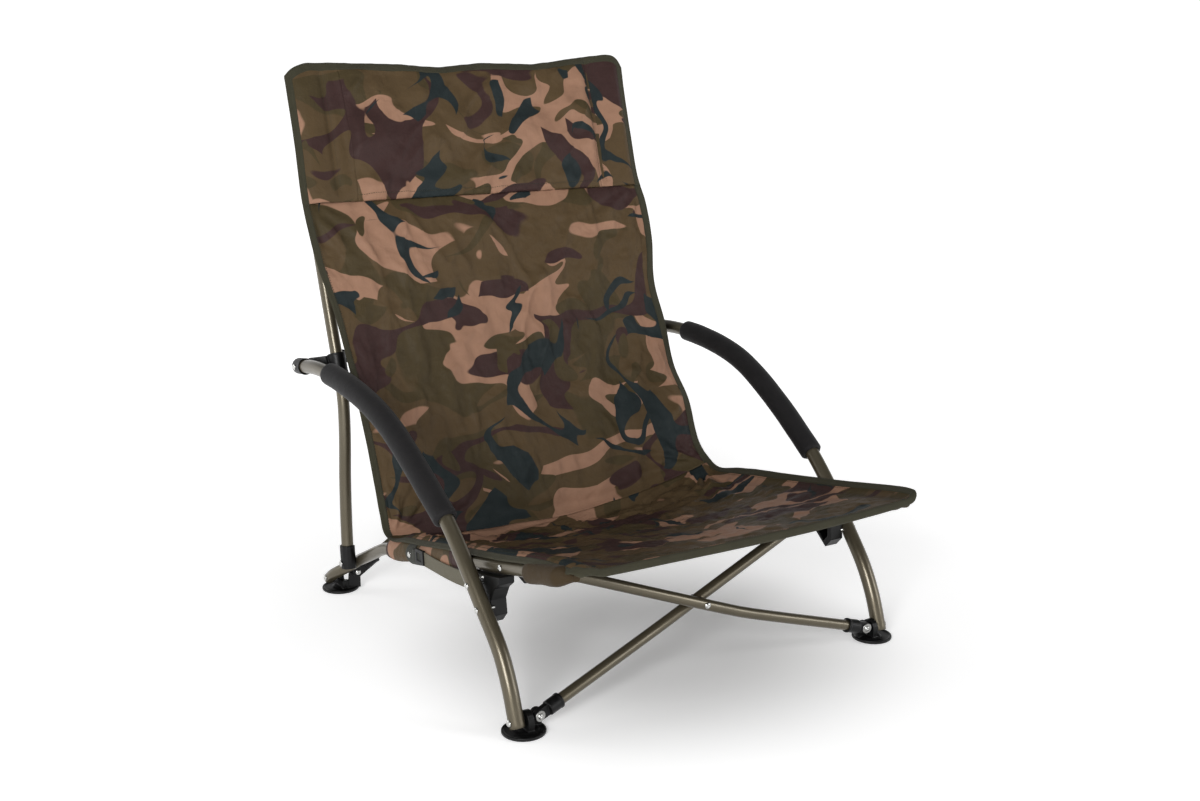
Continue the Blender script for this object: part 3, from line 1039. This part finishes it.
# ------------------------------------------------------------------ edge binding and stitching
def tape(name, QU, part, body, squash=None, lift=0.0, over=1.3, under=2.0, spill=1.2):
    """Folded tape over the edge: QU are (q, row, q inside, row inside) along the edge; it follows the cloth."""
    QU = np.asarray(QU, float)
    P = sling_point(QU[:, 0], QU[:, 1], part, np.zeros(len(QU)))
    d = np.concatenate([[0], np.cumsum(np.linalg.norm(np.diff(P, axis=0), axis=1))])
    m = max(2, int(round(d[-1] / 4.0)) + 1)
    at = np.linspace(0, d[-1], m)
    S = np.stack([QU[:, 0], down(QU[:, 1]), QU[:, 2], down(QU[:, 3])], 1)
    S = np.stack([np.interp(at, d, S[:, k]) for k in range(4)], 1)
    fr = [0.0, 0.12, 0.3, 0.5, 0.7, 0.88, 1.0]
    thick = [0.75, 1.0, 0.92, 0.8, 0.92, 0.95, 0.5]
    pts, nrm_ = [], []
    for f0 in fr:
        q_, s_ = S[:, 0] + (S[:, 2] - S[:, 0]) * f0, S[:, 1] + (S[:, 3] - S[:, 1]) * f0
        u_ = row_at(s_)
        pts.append(sling_point(np.clip(q_, -1, 1), u_, part, np.full(m, lift)))
        nrm_.append(base_normal(np.clip(q_, -0.98, 0.98), u_))
    pts, nrm_ = np.array(pts), np.array(nrm_)
    out = unit(pts[0] - pts[2])
    wob = 1 + 0.16 * gradient_noise(at / 27.0, at * 0 + 0.5, 111)
    ring_ = [pts[0] + out * spill * wob[:, None] + nrm_[0] * (over - under) * 0.35]
    for k in range(len(fr)):
        ring_.append(pts[k] + nrm_[k] * (over * thick[k] * wob)[:, None])
    for k in reversed(range(len(fr))):
        ring_.append(pts[k] - nrm_[k] * (under * thick[k]))
    R = np.stack(ring_, 1)
    k = R.shape[1]
    v = R.reshape(-1, 3)
    f = join_rings(R)
    f.append(tuple(range(k))[::-1]); f.append(tuple(range((m - 1) * k, m * k)))
    cl = np.zeros((m, k, 3)); cl[..., 0] = (np.arange(k) * 2.0)[None, :] / 1000; cl[..., 1] = at[:, None] / 1000
    ob = piece(name, v, f, M_BIND, sharp=60, cloth=cl.reshape(-1, 3))
    bm = bmesh.new(); bm.from_mesh(ob.data); bmesh.ops.recalc_face_normals(bm, faces=bm.faces); bm.to_mesh(ob.data); bm.free()
    finish_piece(ob, body, "edge_binding")
    if squash:
        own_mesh(ob)
    return ob


def edge_side(qe, u0, u1, n, wide=0.962, wide0=None):
    u = row_at(np.linspace(down(u0), down(u1), n))
    w = np.linspace(wide if wide0 is None else wide0, wide, n)
    return np.stack([np.full(n, qe), u, qe * w, u], 1)


e = edge_side(-1.0, ROW_SEAM - 0.05, ROW_FOLD + 0.02, 160, 0.966, 0.971)
tape("binding_back_l", e, "back", "back_sling", squash=SQ_BACK)
e = edge_side(1.0, ROW_SEAM - 0.05, ROW_FOLD + 0.02, 160)
tape("binding_back_r", e, "back", "back_sling", squash=SQ_BACK)


def front_edge(qs):
    x = qs * 294.0
    u = row_front(x)
    return np.stack([qs, u, qs * 0.975, row_at(down(u) - 10.0)], 1)


qs = np.concatenate([np.linspace(-1, -0.9, 30), np.linspace(-0.9, 0.9, 140)[1:], np.linspace(0.9, 1, 30)[1:]])
fe = front_edge(qs)
ls = edge_side(-1.0, ROW_FOLD - 0.02, float(row_front(np.array(-294.0))), 150, 0.979)
rs = edge_side(1.0, ROW_FOLD - 0.02, float(row_front(np.array(294.0))), 150, 0.972)
tape("binding_seat", np.vstack([ls, fe[1:-1], rs[::-1]]), "seat", "rail_l", squash=SQ_SEAT)


def top_edge(x0, x1, n):
    x = np.linspace(x0, x1, n)
    q = np.where(x < 0, x / 318.0, x / 313.0)
    q = np.clip(q, -1, 1)
    u = row_top(x)
    return np.stack([q, u, q * 0.985, row_at(down(u) + 12.5)], 1)


ut_l, ut_r = float(row_top(np.array(-317.5))), float(row_top(np.array(312.5)))
u_hem = float(row_at(float(down(ROW_SEAM)) + 6.5))
sl = edge_side(-1.0, u_hem, ut_l, 60, 0.967, 0.971)
tl = top_edge(-316.8, -232.0, 48)
tape("binding_pocket_l", np.vstack([sl, tl]), "head", "upright_l")
tape("binding_top", top_edge(-233.0, 233.0, 130), "head", "upright_l", squash=SQ_HEAD)
tr = top_edge(232.0, 311.8, 48)
sr = edge_side(1.0, ut_r, u_hem, 60)
tape("binding_pocket_r", np.vstack([tr, sr]), "head", "upright_r")


def stitches(name, QU, part, body, lift=0.25, length=2.6, gap=1.3, thick=0.42, squash=None):
    """A row of thread stitches lying on the cloth along (q, row)."""
    QU = np.asarray(QU, float)
    P = sling_point(QU[:, 0], QU[:, 1], part, np.full(len(QU), lift))
    N = base_normal(QU[:, 0], QU[:, 1])
    d = np.concatenate([[0], np.cumsum(np.linalg.norm(np.diff(P, axis=0), axis=1))])
    v, f, cl = [], [], []
    for a in np.arange(0.5, d[-1] - length, length + gap):
        pts = [np.array([np.interp(a + k * length, d, P[:, j]) for j in range(3)]) for k in (0, 0.25, 0.75, 1)]
        nn = unit(np.array([np.interp(a, d, N[:, j]) for j in range(3)]))
        w = unit(np.cross(pts[3] - pts[0], nn)) * thick
        o = len(v)
        for k, p in enumerate(pts):
            r = 0.55 if k in (0, 3) else 1.0
            drop = -0.35 if k in (0, 3) else 0.12
            v += [p + w * r + nn * drop, p + nn * (drop + thick * 0.8 * r), p - w * r + nn * drop, p + nn * (drop - thick * 0.6)]
            cl += [(a / 1000, 0, 0)] * 4
        for k in range(3):
            for j in range(4):
                f.append((o + 4 * k + j, o + 4 * k + (j + 1) % 4, o + 4 * k + 4 + (j + 1) % 4, o + 4 * k + 4 + j))
        f.append((o + 3, o + 2, o + 1, o)); f.append((o + 12, o + 13, o + 14, o + 15))
    ob = piece(name, v, f, M_THREAD, cloth=cl)
    bm = bmesh.new(); bm.from_mesh(ob.data); bmesh.ops.recalc_face_normals(bm, faces=bm.faces); bm.to_mesh(ob.data); bm.free()
    finish_piece(ob, body, "edge_binding")
    if squash:
        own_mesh(ob)
    return ob


def line(q0, u0, u1, n=160):
    u = row_at(np.linspace(down(u0), down(u1), n))
    return np.stack([np.full(n, q0), u], 1)


for s, t_ in ((-1, "_l"), (1, "_r")):
    w = 318.0 if s < 0 else 313.0
    for k, off in (("a", 0.0), ("b", 6.5)):
        qq = s * ((254.5 if s < 0 else 237.0) + off) / w
        stitches(f"pocket_stitch_{k}{t_}", line(qq, float(row_top(np.array(s * 240.0))) + 0.09, ROW_SEAM - 0.03, 120), "head", "upright" + t_)
    stitches("back_stitch" + t_, line(s * 0.965, ROW_SEAM + 0.05, ROW_FOLD - 0.15, 200), "back", "back_sling", squash=SQ_BACK)
    stitches("seat_stitch" + t_, line(s * 0.965, ROW_FOLD + 0.3, 19.75, 160), "seat", "rail_l", squash=SQ_SEAT)
qs = np.linspace(-0.93, 0.93, 200)
stitches("front_stitch", np.stack([qs, row_at(down(row_front(qs * 294.0)) - 12.0)], 1), "seat", "rail_l", squash=SQ_SEAT)
x = np.linspace(-228, 228, 200)
stitches("top_stitch", np.stack([np.where(x < 0, x / 318.0, x / 313.0), row_at(down(row_top(x)) + 11.5)], 1), "head", "upright_l", squash=SQ_HEAD)
stitches("headrest_stitch", np.stack([np.where(x < 0, x / 318.0, x / 313.0), row_at(np.full(200, float(down(ROW_SEAM)) - 4.0))], 1), "head", "upright_l", squash=SQ_HEAD)


# ------------------------------------------------------------------ seat edge sleeves, pouches, straps
def rail_z(y):
    return 221 - 0.2245 * (np.asarray(y, float) - 0.0)


_ue = np.linspace(ROW_FOLD, 20.0, 300)
_er = base_point(np.ones(300), _ue)[::-1]

for s, t_ in ((-1, "_l"), (1, "_r")):
    rd = unit(np.array([0, -1.0, 0.2245]))
    nrm = np.array([0, 0.2190, 0.9757])  # up from the rail
    # camouflage sleeve round the rail, hanging a little slack below it
    rows = 74
    ys = np.linspace(428, 149, rows)
    sec = []
    coords = []
    for k, y in enumerate(ys):
        centre = np.array([s * 290.0, y, float(np.interp(y, [-95, 150, 425, 440], [242.2, 187.5, 125.5, 120.3]))])
        ends = min(k, rows - 1 - k) / 4.0
        pull = 1 - 0.10 * max(0.0, 1 - ends) ** 2
        slack = 2.2 + 1.2 * float(gradient_noise(np.array(y / 46.0), np.array(0.4 + s), 121)) + (3.0 * math.exp(-((y - 404) / 26.0) ** 2))
        pts = []
        for a in np.radians(np.linspace(98, -250, 40)):
            # a = 90 is up, 0 is outwards
            ca, sa = math.cos(a), math.sin(a)
            r = 11.6 * pull
            low = max(0.0, -sa)
            p = centre + np.array([s, 0, 0]) * ca * (r + 0.7 * low) + nrm * (sa * r - slack * low ** 1.5 - 0.6)
            p = p + nrm * 4.0 * max(0.0, sa) ** 1.5
            pts.append(p)
        if s > 0:
            # up to the standing edge of the seat
            top = np.array([np.interp(y, _er[:, 1], _er[:, 0]) - 1.0, y, min(float(np.interp(y, _er[:, 1], _er[:, 2])) - 3.0, centre[2] + 40.0)])
            for j in range(11):
                f0 = (1 - j / 11.0) ** 1.3
                pts[j] = pts[j] * (1 - f0) + (top + (pts[11] - top) * (j / 11.0)) * f0
        c = np.array(pts)
        arc = np.linspace(0, 1, 40)
        wr = 0.7 * gradient_noise(arc * 5 + k * 0.05, np.full(40, y / 20.0), 122)
        out = unit(c - centre)
        c = c + out * (np.abs(wr) * 1.2)[:, None]
        sec.append(c)
        coords.append(np.stack([s * (300 + arc * 72), np.full(40, 1180 - y), arc * 0], 1) / 1000.0)
    R = np.array(sec)
    wrap = piece("seat_edge_sleeve" + t_, R.reshape(-1, 3), grid_faces(rows, 40, flip=(s < 0)), M_CAMO, cloth=np.vstack(coords))
    so = wrap.modifiers.new("cloth thickness", "SOLIDIFY"); so.thickness = 0.0011; so.offset = 1.0
    finish_piece(wrap, "rail" + t_, "sling_fabric", "seat_sleeve" + t_)

    # corner pouch: a plain bag over the front end of the rail, sewn under the corner of the seat
    y_end = -99.0 if s < 0 else -81.0
    ys = np.linspace(7.0 if s < 0 else 3.0, y_end, 40)
    sec, coords = [], []
    for k, y in enumerate(ys):
        zc = 221 - 0.2236 * y - 0.5
        f0 = k / (len(ys) - 1)
        # rounded at the rear, drawn to a flat point under the corner of the seat in front
        e_ = min(1.0, math.sqrt(max(0.0, 1 - (1 - min(f0 / 0.20, 1.0)) ** 2)) + 0.02)
        nose = float(smoothstep(y_end + (24.0 if s < 0 else 35.0), y_end, y))
        half_w = 13.6 * (0.35 + 0.65 * e_) * (1 - 0.62 * nose)
        drop = (5.0 + (12.0 - 5.0 * f0) * e_ + 1.2 * float(gradient_noise(np.array(y / 24.0), np.array(0.5), 131 + s))) * (1 - 0.55 * nose)
        rise = (14.0 - 5.0 * (1 - e_)) * (1 - 0.75 * nose)
        pts = []
        for a in np.linspace(0, 2 * np.pi, 36, endpoint=False):
            ca, sa = math.cos(a), math.sin(a)
            hh = rise if sa > 0 else drop
            xx = np.sign(ca) * abs(ca) ** 0.8 * half_w
            zz = np.sign(sa) * abs(sa) ** 0.85 * hh
            pts.append(np.array([s * (290.0 - 10.0 * nose) + xx, y, zc + zz - 2.0 * nose]))
        c = np.array(pts)
        wob = 0.8 * gradient_noise(np.arange(36) / 5.0, np.full(36, y / 18.0), 133)
        c[:, 0] += wob * np.cos(np.linspace(0, 2 * np.pi, 36, endpoint=False))
        sec.append(c)
        coords.append(np.stack([np.arange(36) * 2.2, np.full(36, y), np.zeros(36)], 1) / 1000.0)
    R = np.array(sec)
    v = R.reshape(-1, 3)
    f = join_rings(R)
    f.append(tuple(range(36))[::-1]); f.append(tuple(range(39 * 36, 40 * 36)))
    pouch = piece("rail_pouch" + t_, v, f, M_POUCH, cloth=np.vstack(coords), sharp=70)
    bm = bmesh.new(); bm.from_mesh(pouch.data); bmesh.ops.recalc_face_normals(bm, faces=bm.faces); bm.to_mesh(pouch.data); bm.free()
    finish_piece(pouch, "rail" + t_, "pouch_fabric", "corner_pouch" + t_)

    # webbing strap from the buckle to the bracket
    rows, cols = 36, 9
    ys = np.linspace(287, 139.5, rows)
    sec, coords = [], []
    for k, y in enumerate(ys):
        f0 = k / (rows - 1)
        zc = 153.2 + (164.6 - 153.2) * f0 - 2.0 * math.sin(math.pi * f0)
        xo = 304.2 + 0.5 * math.sin(math.pi * f0)
        w = np.linspace(-10.6, 10.6, cols)
        tilt = 0.05 * math.sin(2 * math.pi * f0)
        sec.append(np.stack([np.full(cols, s * xo) + s * w * tilt, y + w * 0.07, zc + w], 1))
        coords.append(np.stack([w, np.full(cols, f0 * 150), w * 0], 1) / 1000.0)
    R = np.array(sec)
    strap = piece("strap_webbing" + t_, R.reshape(-1, 3), grid_faces(rows, cols, flip=(s < 0)), M_WEB, cloth=np.vstack(coords))
    so = strap.modifiers.new("webbing thickness", "SOLIDIFY"); so.thickness = 0.0015; so.offset = 0.0
    be = strap.modifiers.new("soft edge", "BEVEL"); be.width = 0.0004; be.segments = 2; be.limit_method = "ANGLE"
    finish_piece(strap, "rail" + t_, "webbing", "side_strap" + t_)
    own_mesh(strap)

    # the tab that holds the buckle on the rail
    rows, cols = 44, 9
    angles = np.radians(np.linspace(84, -215, rows))
    sec, coords = [], []
    for k, a in enumerate(angles):
        f0 = k / (rows - 1)
        w = np.linspace(-13.5, 13.5, cols)
        y = 333.0 - w
        r = 14.6
        centre = np.stack([np.full(cols, s * 290.0), y, 221 - 0.2245 * y + 0.0], 1)
        low = max(0.0, -math.sin(a))
        sec.append(centre + np.array([s, 0, 0]) * math.cos(a) * (r + 0.4) + nrm * (math.sin(a) * r - 3.0 * low ** 1.5))
        coords.append(np.stack([w, np.full(cols, f0 * 74), w * 0], 1) / 1000.0)
    R = np.array(sec)
    tab = piece("strap_tab" + t_, R.reshape(-1, 3), grid_faces(rows, cols, flip=(s > 0)), M_TAB, cloth=np.vstack(coords))
    so = tab.modifiers.new("webbing thickness", "SOLIDIFY"); so.thickness = 0.0015; so.offset = 0.0
    finish_piece(tab, "rail" + t_, "webbing")
    tail = np.array([[s * 305.6, 322, 149.5], [s * 306.2, 314, 150.5], [s * 305.4, 306, 152], [s * 304.8, 299, 153]], float)
    tp = smooth_path(tail, 2.5)
    sec = np.array([np.stack([np.full(7, p[0]), np.full(7, p[1]) + np.linspace(-9, 9, 7) * 0.05, p[2] + np.linspace(-9.3, 9.3, 7)], 1) for p in tp])
    cl = np.stack([np.broadcast_to(np.linspace(-9.3, 9.3, 7), sec.shape[:2]), np.broadcast_to(np.arange(len(tp))[:, None] * 2.5, sec.shape[:2]), np.zeros(sec.shape[:2])], -1) / 1000
    tl_ = piece("strap_tab_tail" + t_, sec.reshape(-1, 3), grid_faces(len(tp), 7, flip=(s < 0)), M_TAB, cloth=cl.reshape(-1, 3))
    so = tl_.modifiers.new("webbing thickness", "SOLIDIFY"); so.thickness = 0.0015; so.offset = 0.0
    finish_piece(tl_, "rail" + t_, "webbing")
    rivet_piece("tab_rivet" + t_, "rail" + t_, [s * 305.6, 336, 145.2], [s * 302, 336, 145.2], blind=True, head=4.6, tall=1.6)


# ------------------------------------------------------------------ floor, light and camera
n = Nodes("studio floor")
p = n.object_space()
soft = n.noise(p, 0.6, 2.0, 0.5)
reach = n.t.nodes.new("ShaderNodeVectorMath")
reach.operation = "DISTANCE"
n.put(reach.inputs[0], p)
n.put(reach.inputs[1], (0.0, -0.18, 0.0))
near_glow = n.ramp(reach.outputs["Value"], 0.10, 0.44, 0.06, 0.48)
near_glow.node.interpolation_type = "SMOOTHSTEP"
far_glow = n.ramp(reach.outputs["Value"], 0.42, 2.3, 0.0, 0.49)
glow = n.math("ADD", near_glow, far_glow)
n.out(Base_Color=n.mix(n.ramp(soft, 0.3, 0.7), (0.84, 0.84, 0.842, 1), (0.86, 0.86, 0.86, 1)), Emission_Strength=glow)
n.b.inputs["Roughness"].default_value = 0.9
n.b.inputs["Emission Color"].default_value = (1, 1, 1, 1)
n.b.inputs["Specular IOR Level"].default_value = 0.1
size = 30.0
floor = piece("floor", [(-size, -size, 0), (size, -size, 0), (size, size, 0), (-size, size, 0)], [(0, 1, 2, 3)], n.m, smooth=False, in_metres=True)
floor.location.z = -0.0005

world = bpy.data.worlds.new("studio")
SCENE.world = world
world.use_nodes = True
wt = world.node_tree
direction = wt.nodes.new("ShaderNodeTexCoord").outputs["Generated"]
height = wt.nodes.new("ShaderNodeSeparateXYZ")
wt.links.new(direction, height.inputs[0])
level = wt.nodes.new("ShaderNodeMapRange")
level.clamp = True
for i, v in enumerate((None, 0.16, 0.5, 1.06, 0.11)):
    if v is not None:
        level.inputs[i].default_value = v
wt.links.new(height.outputs["Z"], level.inputs[0])
wt.nodes["Background"].inputs["Color"].default_value = (1, 1, 1, 1)
wt.links.new(level.outputs[0], wt.nodes["Background"].inputs["Strength"])


def area(name, where, target, size_x, size_y, power, colour=(1, 1, 1)):
    l = bpy.data.lights.new(name, "AREA")
    l.shape, l.size, l.size_y, l.energy, l.color = "RECTANGLE", size_x, size_y, power, colour
    ob = bpy.data.objects.new(name, l)
    COLL.objects.link(ob)
    ob.location = where
    ob.rotation_mode = "QUATERNION"
    ob.rotation_quaternion = (Vector(target) - Vector(where)).to_track_quat("-Z", "Y")
    return ob


area("key", (-2.9, -2.75, 1.65), (0, 0, 0.45), 1.3, 1.3, 112)
area("fill", (2.4, -2.8, 1.4), (0, 0, 0.4), 1.2, 1.6, 36)
area("top", (0.1, 0.3, 3.6), (0, 0, 0.3), 2.8, 2.8, 10)
area("rim", (-2.6, 2.2, 1.5), (0, 0, 0.4), 0.8, 1.8, 16)

cam = bpy.data.cameras.new("camera")
cam.lens, cam.sensor_width = 44.73, 36.0
cam.clip_start, cam.clip_end = 0.05, 100.0
camera = bpy.data.objects.new("camera", cam)
COLL.objects.link(camera)
camera.location = (-1.1707, -1.8990, 0.8800)
camera.rotation_mode = "QUATERNION"
camera.rotation_quaternion = Vector((0.51590, 0.82390, -0.23440)).to_track_quat("-Z", "Y")
SCENE.camera = camera
SCENE.view_settings.view_transform = "Standard"
SCENE.view_settings.look = "None"
